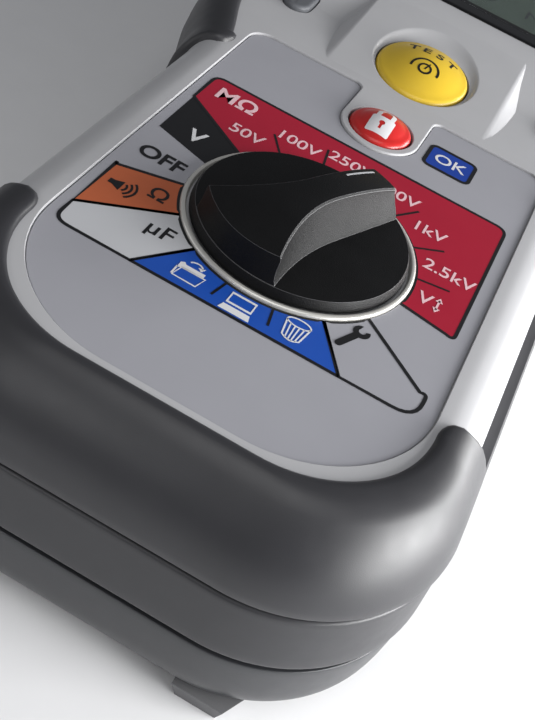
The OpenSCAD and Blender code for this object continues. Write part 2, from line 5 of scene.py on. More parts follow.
import bmesh
import bpy
from mathutils import Matrix, Quaternion, Vector
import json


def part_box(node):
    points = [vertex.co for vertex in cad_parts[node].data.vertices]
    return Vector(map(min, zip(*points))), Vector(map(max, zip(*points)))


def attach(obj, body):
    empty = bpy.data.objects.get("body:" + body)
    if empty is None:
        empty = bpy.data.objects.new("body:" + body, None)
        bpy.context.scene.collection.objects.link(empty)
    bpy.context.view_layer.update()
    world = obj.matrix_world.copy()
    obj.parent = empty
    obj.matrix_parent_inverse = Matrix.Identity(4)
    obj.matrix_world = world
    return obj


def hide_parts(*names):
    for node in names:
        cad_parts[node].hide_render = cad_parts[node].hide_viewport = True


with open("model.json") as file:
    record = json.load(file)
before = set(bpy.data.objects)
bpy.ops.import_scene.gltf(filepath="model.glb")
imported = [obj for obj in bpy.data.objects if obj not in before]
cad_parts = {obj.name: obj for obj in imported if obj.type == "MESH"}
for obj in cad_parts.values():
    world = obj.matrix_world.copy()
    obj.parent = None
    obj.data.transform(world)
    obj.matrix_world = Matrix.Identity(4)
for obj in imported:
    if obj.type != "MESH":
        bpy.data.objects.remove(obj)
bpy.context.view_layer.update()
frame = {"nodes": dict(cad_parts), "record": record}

# ---- sizes and places, in millimetres ----

MM = 0.001


def low(node):
    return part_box(node)[0] / MM


def high(node):
    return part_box(node)[1] / MM


def middle(node):
    return (low(node) + high(node)) / 2


BODY_LEN = high("rear_overmould").y - low("rear_overmould").y
HEAD_W = high("rear_overmould").x - low("rear_overmould").x
WAIST_W = 92
TAIL_R = 28
HEAD_R = 18
FLARE_START = -15
FLARE_LEN = 33

PANEL_Z = high("label_overlay").z
RIM_Z = PANEL_Z + 0.4
UNDER_Z = low("label_overlay").z - 2.5
FRONT_Z = low("front_overmould").z
BAND_Z = low("rear_overmould").z
COVER_TOP = high("battery_cover").z
COVER_END = high("battery_cover").y
LABEL_W = high("label_overlay").x * 2
LABEL_TAIL = low("label_overlay").y
LABEL_HEAD = high("label_overlay").y
DIAL = middle("knob_ring")
TEST = middle("test_button")
LOCK = middle("lock_button")
DISPLAY = middle("display_bezel")
HOUSING_Z = high("display_bezel").z - 0.5
RAMP_START = 19
RAMP_LEN = 26
HOUSING_END = 102.2
HOUSING_HALF = 42
HOUSING_CORNER = 8
HOUSING_EDGE = 1.4
RING_R = (high("knob_ring").x - low("knob_ring").x) / 2
TEST_R = 10.4
LOCK_R = 6.5
TEST_SLOPE = 0.122
KEY_FLANGE = 1.1
ISLAND_START = LABEL_HEAD + 0.3
ISLAND_END = 46
ISLAND_HALF = 18.5
GAP = 0.3
STEP_ANGLE = 22.5
BEZEL = (80, 53)
FLANGE_H = 1.3
# Thickness of a printed shape
PRINT_H = 0.02
# A cutter between these heights passes right through the top of the case
CUT_LOW, CUT_HIGH = 40, 60
# Farther out than any piece, across and along the case
WIDE, LONG = 60, 130

# Rows of the lofted shells: inset at the sides, inset at the tail, height
FRONT_ROWS = [
    (3.2, 3.4, FRONT_Z), (3.2, 4.4, 36), (3.6, 7.2, 40.5), (4.6, 9.6, 43.6), (6.6, 11.1, 45.8),
    (9.3, 11.9, RIM_Z - 0.15), (11.6, 12.2, RIM_Z),
]
BAND_ROWS = [
    (0.7, 0.7, BAND_Z), (0.2, 0.2, 19.8), (0, 0, 21), (0.25, 0.25, 25), (0.6, 0.6, 29.5), (0.75, 0.75, 31.1),
    (1.1, 1.1, 31.6), (1.7, 1.7, 31.75),
]
PAN_ROWS = [
    (8.6, 8.6, 3), (6, 6, 3.2), (4, 4, 4), (2.6, 2.6, 5), (1.5, 1.5, 6.7), (0.8, 0.8, 9.2), (0.5, 0.5, 13),
    (0.4, 0.4, 17.6), (0.7, 0.7, COVER_TOP),
]


# ---- outlines ----

def arc(cx, cy, r, start, end, n):
    """The n + 1 points of an arc between two angles in degrees."""
    turn = [math.radians(start + (end - start) * i / n) for i in range(n + 1)]
    return [(cx + r * math.cos(a), cy + r * math.sin(a)) for a in turn]


def steps(a, b, n):
    """n + 1 even steps from a to b."""
    return [a + (b - a) * i / n for i in range(n + 1)]


def ease(t):
    t = min(max(t, 0), 1)
    return t * t * (3 - 2 * t)


def half_width(y):
    """Half the case's width along its length: narrow at the tail, flared at the display."""
    return (WAIST_W + (HEAD_W - WAIST_W) * ease((y - FLARE_START) / FLARE_LEN)) / 2


# Where the rings of every case shell have points along the straight and flared sides
STATIONS = (
    steps(-80.5, -68, 25) + steps(-65, -20, 9) + steps(-16, -3, 26) + steps(-1, 18, 14) + steps(22, 92, 14)
)


def case_outline(side, tail):
    """The case's outline, counterclockwise from the tail, inset at the sides and at the tail end.
    The tail corners of the inner outlines are rounder than a plain inset would make them."""
    r = TAIL_R - side + 4 * ease((side - 6) / 5.4)
    tail_arc = arc(WAIST_W / 2 - side - r, tail + r - BODY_LEN / 2, r, -90, 0, 26)
    flank = [(half_width(y) - side, y) for y in STATIONS]
    head_arc = arc(HEAD_W / 2 - HEAD_R, BODY_LEN / 2 - HEAD_R, HEAD_R - side, 0, 90, 14)
    right = tail_arc + flank + head_arc
    return right + [(-x, y) for x, y in reversed(right)]


def smooth(rows, n):
    """Rows on a smooth curve through the given ones, n to a step."""
    found = []
    for i in range(len(rows) - 1):
        a, b, c, d = (rows[min(max(i + k, 0), len(rows) - 1)] for k in (-1, 0, 1, 2))
        for t in steps(0, 1, n)[:-1]:
            found.append(tuple(
                q + 0.5 * t * (r - p + t * (2 * p - 5 * q + 4 * r - s + t * (3 * q - p - 3 * r + s)))
                for p, q, r, s in zip(a, b, c, d)
            ))
    return found + [rows[-1]]


def rings(rows):
    return [[(x, y, z) for x, y in case_outline(side, tail)] for side, tail, z in rows]


def rounded(cx, cy, w, h, r, n=8):
    """A rectangle with round corners, counterclockwise."""
    x, y = w / 2 - r, h / 2 - r
    corners = ((x, -y, -90), (x, y, 0), (-x, y, 90), (-x, -y, 180))
    return [p for dx, dy, a in corners for p in arc(cx + dx, cy + dy, r, a, a + 90, n)]


def grown(points, out):
    """A closed outline with each point moved out along its own normal, by a distance or by out(point)."""
    n = len(points)
    found = []
    for i, (x, y) in enumerate(points):
        before, after = Vector(points[i - 1]), Vector(points[(i + 1) % n])
        along = (after - before).normalized()
        far = out((x, y)) if callable(out) else out
        found.append((x + along.y * far, y - along.x * far))
    return found


# ---- meshes ----

def new_object(name, data):
    """A new object in the scene."""
    obj = bpy.data.objects.new(name, data)
    bpy.context.scene.collection.objects.link(obj)
    return obj


def take(name, b):
    """A new object with a bmesh's shape, which ends the bmesh."""
    mesh = bpy.data.meshes.new(name)
    b.to_mesh(mesh)
    b.free()
    return new_object(name, mesh)


def add(name, vertices, faces):
    """An object from points in millimetres, with faces that look outwards."""
    mesh = bpy.data.meshes.new(name)
    mesh.from_pydata([Vector(v) * MM for v in vertices], [], faces)
    b = bmesh.new()
    b.from_mesh(mesh)
    bmesh.ops.remove_doubles(b, verts=b.verts, dist=1e-7)
    bmesh.ops.recalc_face_normals(b, faces=b.faces)
    b.to_mesh(mesh)
    b.free()
    return new_object(name, mesh)


def skin(name, levels, loop=False):
    """A closed mesh over rings of equal length, capped at both ends unless the rings meet in a loop."""
    n, count = len(levels[0]), len(levels)
    faces = []
    for k in range(count if loop else count - 1):
        a, b = k * n, (k + 1) % count * n
        faces += [(a + i, a + (i + 1) % n, b + (i + 1) % n, b + i) for i in range(n)]
    if not loop:
        faces += [tuple(reversed(range(n))), tuple(range((count - 1) * n, count * n))]
    return add(name, [p for ring in levels for p in ring], faces)


def slab(name, outline, z0, z1):
    return skin(name, [[(x, y, z) for x, y in outline] for z in (z0, z1)])


def pebble(name, outline, levels):
    """An outline stacked up through (distance out, height) levels."""
    return skin(name, [[(x, y, z) for x, y in grown(outline, out)] for out, z in levels])


def turned(name, profile, cx=0, cy=0, n=96):
    """A closed solid of revolution about an upright axis, from (radius, height) points."""
    levels = []
    for r, z in profile:
        levels.append([(x, y, z) for x, y in arc(cx, cy, max(r, 1e-3), 0, 360 - 360 / n, n - 1)])
    return skin(name, levels)


def brick(name, x0, x1, y0, y1, z0, z1):
    return slab(name, [(x0, y0), (x1, y0), (x1, y1), (x0, y1)], z0, z1)


def bake(obj):
    graph = bpy.context.evaluated_depsgraph_get()
    mesh = bpy.data.meshes.new_from_object(obj.evaluated_get(graph))
    obj.modifiers.clear()
    obj.data = mesh
    return obj


def combine(obj, other, operation="DIFFERENCE"):
    cut = obj.modifiers.new("cut", "BOOLEAN")
    cut.object = other
    cut.operation = operation
    cut.solver = "EXACT"
    bake(obj)
    bpy.data.objects.remove(other)
    return obj


def drill(obj, r, x, y, bottom=CUT_LOW, top=CUT_HIGH, n=96):
    """Cuts a round upright hole."""
    return combine(obj, turned("drill", [(r, bottom), (r, top)], x, y, n))


def sink(obj, outline, bottom=CUT_LOW, top=CUT_HIGH):
    """Cuts an upright opening of any outline."""
    return combine(obj, slab("sink", outline, bottom, top))


def join(name, objects):
    """One object from several, their meshes left as they are."""
    b = bmesh.new()
    for o in objects:
        b.from_mesh(o.data)
        bpy.data.objects.remove(o)
    return take(name, b)


def round_edges(obj, width, angle=30, look=-1):
    """Rounds the edges sharper than an angle. look is the number of the material that they take."""
    edge = obj.modifiers.new("edge", "BEVEL")
    edge.width = width * MM
    edge.segments = 3
    edge.limit_method = "ANGLE"
    edge.angle_limit = math.radians(angle)
    edge.use_clamp_overlap = True
    edge.material = look


def settle(obj, look, body="case", replaced=(), bevel=0, angle=32, edge_highlight_look=None):
    """Rounds the edges, shades, finishes and rides a piece. The last argument, if given, is the look of its
    rounded edges: a lighter colour painted on them as a highlight.
    """
    obj.data.materials.clear()
    obj.data.materials.append(look)
    if edge_highlight_look:
        obj.data.materials.append(edge_highlight_look)
    if bevel:
        round_edges(obj, bevel, angle, 1 if edge_highlight_look else -1)
        bake(obj)
    mesh = obj.data
    mesh.polygons.foreach_set("use_smooth", [True] * len(mesh.polygons))
    mesh.set_sharp_from_angle(angle=math.radians(angle))
    weigh = obj.modifiers.new("weigh", "WEIGHTED_NORMAL")
    weigh.keep_sharp = True
    bake(obj)
    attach(obj, body)
    if replaced:
        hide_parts(*replaced)
    return obj


# ---- materials ----

def srgb(r, g, b):
    return tuple(c / 255 / 12.92 if c <= 10 else ((c / 255 + 0.055) / 1.055) ** 2.4 for c in (r, g, b)) + (1,)


# Sizes of the patches over which a surface's colour and its roughness wander
TINT_PATCH, SHEEN_PATCH = 9, 2.5


def surface(name, colour, rough, grain=0.2, bump=0.1, vary=0.06, spread=0.06, **sockets):
    """A moulded, printed or metal surface. grain is the size of its fine texture in mm, bump that
    texture's strength, vary and spread how far the colour and the roughness wander."""
    look = bpy.data.materials.new(name)
    look.use_nodes = True
    nodes, links = look.node_tree.nodes, look.node_tree.links
    shader = nodes["Principled BSDF"]
    place = nodes.new("ShaderNodeTexCoord")

    def noise(size, detail):
        found = nodes.new("ShaderNodeTexNoise")
        found.inputs["Scale"].default_value = 1 / (size * MM)
        found.inputs["Detail"].default_value = detail
        links.new(place.outputs["Object"], found.inputs["Vector"])
        return found.outputs["Fac"]

    tint = nodes.new("ShaderNodeValToRGB")
    for element, position, share in zip(tint.color_ramp.elements, (0.3, 0.7), (1 - vary, 1 + vary)):
        element.position = position
        element.color = tuple(min(c * share, 1) for c in srgb(*colour)[:3]) + (1,)
    links.new(noise(TINT_PATCH, 4), tint.inputs["Fac"])
    links.new(tint.outputs["Color"], shader.inputs["Base Color"])
    span = nodes.new("ShaderNodeMapRange")
    span.inputs["To Min"].default_value = max(rough - spread, 0.02)
    span.inputs["To Max"].default_value = min(rough + spread, 1)
    links.new(noise(SHEEN_PATCH, 5), span.inputs["Value"])
    links.new(span.outputs["Result"], shader.inputs["Roughness"])
    relief = nodes.new("ShaderNodeBump")
    relief.inputs["Strength"].default_value = bump
    relief.inputs["Distance"].default_value = grain * MM * 0.3
    links.new(noise(grain, 2), relief.inputs["Height"])
    links.new(relief.outputs["Normal"], shader.inputs["Normal"])
    for socket, value in sockets.items():
        shader.inputs[socket.replace("_", " ")].default_value = value
    return look


# Finishes of the outer pieces: colour, roughness, the rest
FINISHES = {
    "light_shell": ((172, 172, 174), 0.42, dict(grain=0.22, bump=0.14, vary=0.02, Specular_IOR_Level=0.38)),
    "overmould_rubber": ((45, 45, 48), 0.4, dict(grain=0.16, bump=0.2, vary=0.05)),
    "dark_shell": ((48, 49, 52), 0.36, dict(grain=0.2, bump=0.12, vary=0.04)),
    "seal_rubber": ((9, 9, 9), 0.9, dict(grain=0.2)),
    "foot_rubber": ((92, 92, 94), 0.6, dict(grain=0.25, bump=0.3)),
    "screw_steel": ((168, 168, 170), 0.32, dict(grain=0.1, bump=0.1, Metallic=1.0)),
    "hinge_steel": ((158, 160, 163), 0.3, dict(grain=0.1, bump=0.1, Metallic=1.0)),
    "printed_panel": ((152, 152, 158), 0.42, dict(grain=0.3, bump=0.06, vary=0.015, Specular_IOR_Level=0.35)),
    "dial_ring": ((206, 204, 198), 0.3, dict(grain=0.1, bump=0.05, Metallic=0.5)),
    "knob_black": ((9, 9, 10), 0.5, dict(grain=0.2, bump=0.9, vary=0.25, Specular_IOR_Level=0.22)),
    # Lighter grey painted on the black knob's rounded edges: a painted edge highlight
    "knob_edge_highlight": ((84, 84, 86), 0.4, dict(grain=0.2, bump=0.3, vary=0.1)),
    "button_yellow": ((212, 178, 50), 0.34, dict(grain=0.3, bump=0.08, vary=0.03)),
    "button_red": ((186, 36, 34), 0.3, dict(grain=0.3, bump=0.08, vary=0.03)),
    "key_grey": ((92, 94, 98), 0.5, dict(grain=0.2, bump=0.15)),
    "bezel_black": ((13, 13, 15), 0.12, dict(grain=0.4, bump=0.02, spread=0.03)),
    "window_clear": (
        (214, 222, 220), 0.05, dict(grain=0.5, bump=0.01, vary=0.01, spread=0.02, Transmission_Weight=1.0)
    ),
    "lcd_glass": ((128, 142, 126), 0.2, dict(grain=0.3, bump=0.02)),
    "terminal_black": ((24, 24, 26), 0.45, dict(grain=0.2, bump=0.15)),
    "socket_red": ((178, 28, 32), 0.38, dict(grain=0.2, bump=0.1)),
    "socket_black": ((16, 16, 17), 0.38, dict(grain=0.2, bump=0.1)),
    "socket_blue": ((28, 70, 158), 0.38, dict(grain=0.2, bump=0.1)),
    "contact_brass": ((196, 160, 84), 0.26, dict(grain=0.1, bump=0.05, Metallic=1.0)),
}
# Finishes of the pieces held inside the case: colour, roughness, metal
INSIDE = {
    "shaft_metal": ((170, 171, 173), 0.3, 1.0), "bearing_brass": ((190, 156, 84), 0.35, 1.0),
    "switch_plastic": ((176, 150, 112), 0.5, 0.0), "rotor_plastic": ((214, 212, 204), 0.5, 0.0),
    "silicone_mat": ((208, 208, 206), 0.7, 0.0), "light_guide": ((226, 230, 228), 0.3, 0.0),
    "frame_grey": ((120, 121, 124), 0.5, 0.0), "circuit_board": ((18, 74, 44), 0.4, 0.0),
    "chip_black": ((22, 22, 23), 0.5, 0.0), "ferrite": ((60, 60, 64), 0.7, 0.0),
    "copper_coil": ((178, 104, 58), 0.4, 0.9), "capacitor_blue": ((44, 92, 158), 0.4, 0.0),
    "relay_case": ((24, 44, 92), 0.4, 0.0), "fuse_glass": ((212, 216, 214), 0.2, 0.0),
    "plated_metal": ((186, 187, 188), 0.28, 1.0), "resistor_body": ((198, 182, 150), 0.5, 0.0),
    "cell_wrap": ((196, 116, 34), 0.35, 0.0), "holder_plastic": ((30, 30, 32), 0.5, 0.0),
}
LOOKS = {name: surface(name, colour, rough, **rest) for name, (colour, rough, rest) in FINISHES.items()}
for slot, (colour, rough, metal) in INSIDE.items():
    LOOKS[slot] = surface(slot, colour, rough, bump=0.12, Metallic=metal)
# Printing inks: colour, roughness, how far the colour wanders
INK_COLOURS = {
    "ink_red": ((158, 16, 44), 0.4, 0.03),
    "ink_black": ((14, 14, 17), 0.42, 0.06),
    "ink_blue": ((22, 74, 166), 0.4, 0.03),
    "ink_key": ((20, 58, 148), 0.35, 0.03),
    "ink_orange": ((178, 92, 56), 0.4, 0.03),
    "ink_white": ((212, 212, 214), 0.4, 0.01),
    "ink_pale": ((186, 187, 190), 0.42, 0.01),
    "ink_rose": ((222, 186, 192), 0.4, 0.01),
}
INKS = {
    name: surface(name, colour, rough, grain=0.3, bump=0.05, vary=vary)
    for name, (colour, rough, vary) in INK_COLOURS.items()
}
# The material slot of every CAD node, in the record's order
SLOTS = {part["node"]: part["material_slot"] for part in frame["record"]["subparts"]}
for node, slot in SLOTS.items():
    materials = frame["nodes"][node].data.materials
    materials.clear()
    materials.append(LOOKS[slot])
round_edges(frame["nodes"]["feet"], 0.5)


# ---- light grey front shell ----

LABEL_TAIL_R = 23
LABEL_HEAD_R = 4
NOTCH_R = 8.5
NOTCH_CORNER = 1.8


def label_outline(inset):
    """The printed panel's outline, with the notch for the lock button in its head edge."""
    w, tail, head = LABEL_W / 2 - inset, LABEL_TAIL + inset, LABEL_HEAD - inset
    big, small, notch = LABEL_TAIL_R - inset, LABEL_HEAD_R - inset, NOTCH_R + inset
    half = arc(w - big, tail + big, big, -90, 0, 20) + arc(w - small, head - small, small, 0, 90, 8)
    half += arc(notch + NOTCH_CORNER, head - NOTCH_CORNER, NOTCH_CORNER, 90, 180, 6)
    half += arc(0, LOCK.y, notch, 0, -90, 18)[:-1]
    return half + [(0, LOCK.y - notch)] + [(-x, y) for x, y in reversed(half)]


# The island's foot height, how far its sides bow out there, and the rounding of its upper edge
ISLAND_FOOT = RIM_Z - 0.3
ISLAND_BOW = 3.1
ISLAND_EDGE = 0.7


def island_top(y):
    """The height of the island's sloping top."""
    share = (y - ISLAND_START) / (ISLAND_END - 1 - ISLAND_START)
    return ISLAND_FOOT + (HOUSING_Z + 0.2 - RIM_Z) * share


def island_section(y):
    """The raised island's cross-section: slanted sides that bow out at the foot, and a round upper edge."""
    share = (y - ISLAND_START) / (ISLAND_END - ISLAND_START)
    base = ISLAND_HALF + 0.2 + ISLAND_BOW * math.sin(math.pi * min(max(share, 0), 1)) ** 0.6
    crest = Vector((ISLAND_HALF, island_top(y)))
    foot = Vector((base, ISLAND_FOOT))
    edge = min(ISLAND_EDGE, (crest - foot).length * 0.45)
    down = (foot - crest).normalized() * edge
    side = [(base, UNDER_Z + 1), (base, ISLAND_FOOT)]
    for t in steps(0, 1, 5):
        p = crest + down * (1 - t) ** 2 + Vector((-edge, 0)) * t ** 2
        side.append((p.x, p.y))
    return [(x, y, z) for x, z in side] + [(-x, y, z) for x, z in reversed(side)]


# The dish round the test button: its radius at the foot, its rims across and along, how far it leans back
DISH_FOOT, DISH_WIDE, DISH_DEEP, DISH_BACK = TEST_R + 0.8, TEST_R + 2.6, TEST_R + 5.2, 4.2
DISH_FILLET = 0.7
DISH_LIFT = 0.85
DISH_TOP = RIM_Z + 4.6


def last_true(holds, end):
    """The largest t from 0 to end for which holds(t) is true, where it turns false only once."""
    lo, hi = 0.0, end
    for _ in range(30):
        mid = (lo + hi) / 2
        lo, hi = (mid, hi) if holds(mid) else (lo, mid)
    return lo


def dish():
    """The dished recess round the test button: a wall that climbs to a long far rim, with a rounded lip."""
    columns = []
    for i in range(120):
        a = math.radians(3 * i)
        ux, uy = math.cos(a), math.sin(a)
        z0 = RIM_Z + DISH_LIFT + TEST_SLOPE * uy * DISH_FOOT

        def wall(t):
            out = t ** 1.15
            x = ux * (DISH_FOOT + (DISH_WIDE - DISH_FOOT) * out)
            y = uy * (DISH_FOOT + (DISH_DEEP - DISH_FOOT) * out) + DISH_BACK * out
            return Vector((x, TEST.y + y, z0 + (DISH_TOP - z0) * t ** 1.5))

        def depth(t):
            p = wall(t)
            return max(island_top(p.y), RIM_Z) - p.z

        edge_t = last_true(lambda t: depth(t) > 0, 1.3)
        lip = min(DISH_FILLET, max(0.6 * depth(0), 0.05))
        lip_t = last_true(lambda t: depth(t) > lip * 0.6, edge_t)
        column = [wall(t) for t in steps(0, lip_t, 9)]
        start, edge = column[-1], wall(edge_t)
        level = max(island_top(edge.y + uy * lip), RIM_Z)
        rim = Vector((edge.x + ux * lip, edge.y + uy * lip, level))
        for t in steps(0, 1, 5)[1:]:
            column.append(start * (1 - t) ** 2 + edge * 2 * t * (1 - t) + rim * t ** 2)
        column.append(rim + Vector((0, 0, 0.03)))
        column.append(Vector((rim.x, rim.y, RIM_Z + 12)))
        columns.append(column)
    return skin("dish", [[tuple(c[k]) for c in columns] for k in range(len(columns[0]))])


def quarter(x, r):
    """How far a round corner of radius r stands back where its end is x past the corner's start."""
    x = min(max(x, 0), r - 1e-4)
    return r - math.sqrt(r * r - x * x)


def housing_section(y):
    """The display housing's cross-section: a ramp at the near side, round corners, a rounded upper edge."""
    start, end = RAMP_START + HOUSING_CORNER, HOUSING_END - HOUSING_CORNER
    half = HOUSING_HALF - quarter(start - y, HOUSING_CORNER) - quarter(y - end, HOUSING_CORNER)
    top = RIM_Z - 0.2 + (HOUSING_Z - RIM_Z + 0.2) * ease((y - RAMP_START) / RAMP_LEN)
    edge = min(HOUSING_EDGE, max((top - RIM_Z) * 0.8, 0.05))
    top -= quarter(y - HOUSING_END + HOUSING_EDGE, HOUSING_EDGE)
    side = [(half, 40)] + [(x, z) for x, z in arc(half - edge, top - edge, edge, 0, 90, 6)]
    return [(x, y, z) for x, z in side] + [(-x, y, z) for x, z in reversed(side)]


def flare(point):
    """How far the panel's recess opens at its lip, wider round the lock button's notch."""
    return 0.62 if abs(point[0]) < 12 and point[1] > LOCK.y - 14 else 0.3


def housing():
    """The display housing, with round corners at both ends."""
    start, end = RAMP_START + HOUSING_CORNER, HOUSING_END - HOUSING_CORNER
    places = steps(RAMP_START, start, 8) + steps(start + 2, end, 36)
    for t in steps(0, math.pi / 2, 14)[1:]:
        places.append(HOUSING_END - HOUSING_CORNER * (1 - math.sin(t)))
    return skin("housing", [housing_section(y) for y in places])


def recess():
    """The printed panel's recess, which opens in a round lip."""
    foot = grown(label_outline(0), 0.16)
    levels = [[(x, y, z) for x, y in foot] for z in (PANEL_Z - 0.42, RIM_Z - 0.3)]
    opened = grown(foot, flare)
    for share, z in ((0.15, RIM_Z - 0.1), (0.4, RIM_Z - 0.01), (0.7, RIM_Z + 0.05), (0.7, RIM_Z + 1.2)):
        level = [Vector(a).lerp(Vector(b), share) for a, b in zip(foot, opened)]
        levels.append([(v.x, v.y, z) for v in level])
    return skin("recess", levels)


def lock_hole():
    """The lock button's hole, its edge rounded."""
    bore = LOCK_R + GAP
    lip = [(bore, CUT_LOW), (bore, RIM_Z - 0.3), (bore + 0.1, RIM_Z - 0.05)]
    lip += [(bore + 0.4, RIM_Z + 0.1), (bore + 0.5, CUT_HIGH)]
    return turned("lock_hole", lip, 0, LOCK.y)


SHAFT_HOLE_R = 6
WINDOW_WELL = (72, 48)
BEZEL_FIT = 0.4


def front_shell():
    """The light grey front case with its island, its display housing and every opening."""
    shell = skin("front_shell", rings(smooth(FRONT_ROWS, 5)))
    sections = [island_section(y) for y in steps(ISLAND_START, ISLAND_END, 44)]
    combine(shell, skin("island", sections), "UNION")
    combine(shell, housing(), "UNION")
    combine(shell, recess())
    combine(shell, dish())
    drill(shell, TEST_R + GAP, 0, TEST.y)
    combine(shell, lock_hole())
    drill(shell, SHAFT_HOLE_R, 0, DIAL.y)
    for key in ("down_key", "up_key"):
        place, size = middle(key), high(key) - low(key)
        width, length = size.x - 2 * KEY_FLANGE + 2 * GAP, size.y - 2 * KEY_FLANGE + 2 * GAP
        sink(shell, rounded(place.x, place.y, width, length, width / 2 - 0.01))
    sink(shell, rounded(0, DISPLAY.y, BEZEL[0] + BEZEL_FIT, BEZEL[1] + BEZEL_FIT, 3), HOUSING_Z - 1.4)
    sink(shell, rounded(0, DISPLAY.y, *WINDOW_WELL, 2))
    inner = [(5.6, 6.8, FRONT_Z - 1), (5.6, 6.8, 36), (6.4, 9.8, 40)]
    inner += [(7.4, 11.6, UNDER_Z - 0.4), (7.8, 11.8, UNDER_Z)]
    combine(shell, skin("cavity", rings(inner)))
    return settle(shell, LOOKS["light_shell"], replaced=["front_case"], angle=18)


front_shell()


# ---- rubber on the front ----

# Points round the rubber's section: inset at the sides, at the tail, height, then where they sink under the
# shell between the two parts of the rubber: inset, height
RUBBER_SECTION = [
    (1.3, 1.3, 32.45, 1.3, 32.45), (0.65, 0.65, 32.75, 0.65, 32.75), (0.4, 0.4, 33.5, 0.4, 33.5),
    (0.45, 0.45, 34.8, 0.45, 34.8), (0.7, 0.7, 36.1, 0.7, 36.1), (0.85, 0.9, 36.8, 1.1, 36.7),
    (0.95, 1.05, 37.3, 2.6, 36.9), (1.1, 1.35, 38.2, 4.6, 37.4), (1.45, 2.0, 39.7, 5.0, 38.8),
    (2.0, 2.9, 41.3, 5.4, 40.2), (2.8, 4.1, 43, 6.2, 41.8), (3.9, 5.7, 44.8, 7.2, 43.2),
    (5.2, 7.3, 46.3, 8.2, 44.2), (6.6, 8.7, 47.3, 9.2, 44.8), (8.2, 9.9, 47.85, 10, 45.2),
    (9.6, 10.8, 47.98, 10.6, 45.4), (10.5, 11.35, 47.9, 11, 45.4), (11.15, 11.8, 47.55, 11.2, 45.3),
    (11.42, 12.05, 46.9, 11.3, 45.2), (11.45, 12.1, 46.0, 11.3, 45.0),
]
# Where the rubber's two parts end along the case, and how their finger tips lean and round off
TAIL_TIP = -76.6
HEAD_TIP = -11
TIP_LEAN = 2
TIP_CORNER = 4.2
# How far past a tip its shape reaches, how far behind it the lean ends, and how soon the rubber sinks away
TIP_REACH = 5.5
LEAN_REACH = 14
TIP_FALL = 1.4


def tip_shift(inset):
    """How far past a finger tip's middle one inset runs: its inner corner is round, its outer side longer."""
    return TIP_LEAN * ease((7 - inset) / 5.5) - quarter(inset - 7.4, TIP_CORNER)


def cover(y):
    """1 where the rubber stands on the shell, 0 where it is sunk below it, with a round fall at each tip."""
    ahead = max(TAIL_TIP - y, y - HEAD_TIP) / TIP_FALL
    return math.sqrt(1 - (1 - min(max(ahead, 0), 1)) ** 2)


def front_rubber():
    """The bead round the tail end and the flared part round the display end, as one loop."""
    levels = []
    for side, tail, z, sunk_side, sunk_z in RUBBER_SECTION:
        ring = []
        for x, y in case_outline(side, tail):
            turn = 1 if x > 0 else -1
            if TAIL_TIP - TIP_REACH < y < HEAD_TIP + LEAN_REACH + 2:
                share = cover(y)
                tail_end = y < (TAIL_TIP + HEAD_TIP) / 2
                away = y - TAIL_TIP if tail_end else HEAD_TIP - y
                fade = ease((away + TIP_REACH) / 3) * ease((LEAN_REACH - away) / 8)
                shift = tip_shift(side) * fade * (1 if tail_end else -1)
                x = turn * (half_width(y) - (side * share + sunk_side * (1 - share)))
                ring.append((x, y + shift, z * share + sunk_z * (1 - share)))
            else:
                ring.append((x, y, z))
        levels.append(ring)
    inner = [(6, 8, 44, 6, 42), (4.4, 6.4, 40, 4.4, 40), (4, 4.6, 34, 4, 34), (4, 4.2, 32.2, 4, 32.2)]
    levels += [[(x, y, z) for x, y in case_outline(side, tail)] for side, tail, z, _, _ in inner]
    rubber = skin("front_rubber", levels, loop=True)
    look = LOOKS["overmould_rubber"]
    return settle(rubber, look, replaced=["front_overmould"], angle=40)


front_rubber()


# ---- rear shells ----

# The opening for the test sockets in the display end, across and along the case
DOOR = (-35.2, 35.2, 100, LONG)
# The stand's well: its place along the case, its size and its depth
STAND_WELL_Y, STAND_WELL, STAND_DEPTH = 55, (64, 76), 8.6
# Screw wells: how far to each side, place along the case, radius, depth
CASE_SCREW_X, CASE_SCREW_Y, CASE_SCREW_R, CASE_SCREW_DEPTH = 43, 92, 3.4, 23
DOOR_SCREW_X, DOOR_SCREW_Y, DOOR_SCREW_R, DOOR_SCREW_DEPTH = 33, -8, 3.9, 5.6
# The height under the case at which the cutters for its back start
BELOW = -1


def pan():
    """The rounded dish of the case's back, from which the rear shell and the cover are cut."""
    return skin("pan", rings(smooth(PAN_ROWS, 4)))


def rear_shell():
    """The rear case behind the battery cover, with its wells and the socket opening."""
    shell = pan()
    shell.name = "rear_shell"
    body = [(2.8, 2.8, COVER_TOP - 1), (2.8, 2.8, FRONT_Z - 0.3)]
    combine(shell, skin("upper", rings(body)), "UNION")
    combine(shell, brick("front_half", -WIDE, WIDE, -LONG, COVER_END + 0.4, BELOW, BAND_Z))
    combine(shell, skin("inside", rings([(5.4, 5.4, BAND_Z + 2.2), (5.4, 5.4, 40)])))
    sink(shell, rounded(0, STAND_WELL_Y, *STAND_WELL, 3), BELOW, STAND_DEPTH)
    combine(shell, brick("socket_door", *DOOR, 13.4, CUT_LOW))
    for x in (CASE_SCREW_X, -CASE_SCREW_X):
        drill(shell, CASE_SCREW_R, x, CASE_SCREW_Y, BELOW, CASE_SCREW_DEPTH, 32)
    return settle(shell, LOOKS["dark_shell"], replaced=["rear_case"], bevel=0.25)


def rear_band():
    levels = rings(smooth(BAND_ROWS, 4))
    levels += rings([(2.8, 2.8, BAND_ROWS[-1][2]), (2.8, 2.8, BAND_Z)])
    band = skin("rear_rubber", levels, loop=True)
    combine(band, brick("socket_door", *DOOR, 0, CUT_HIGH))
    look = LOOKS["overmould_rubber"]
    return settle(band, look, replaced=["rear_overmould"], angle=40)


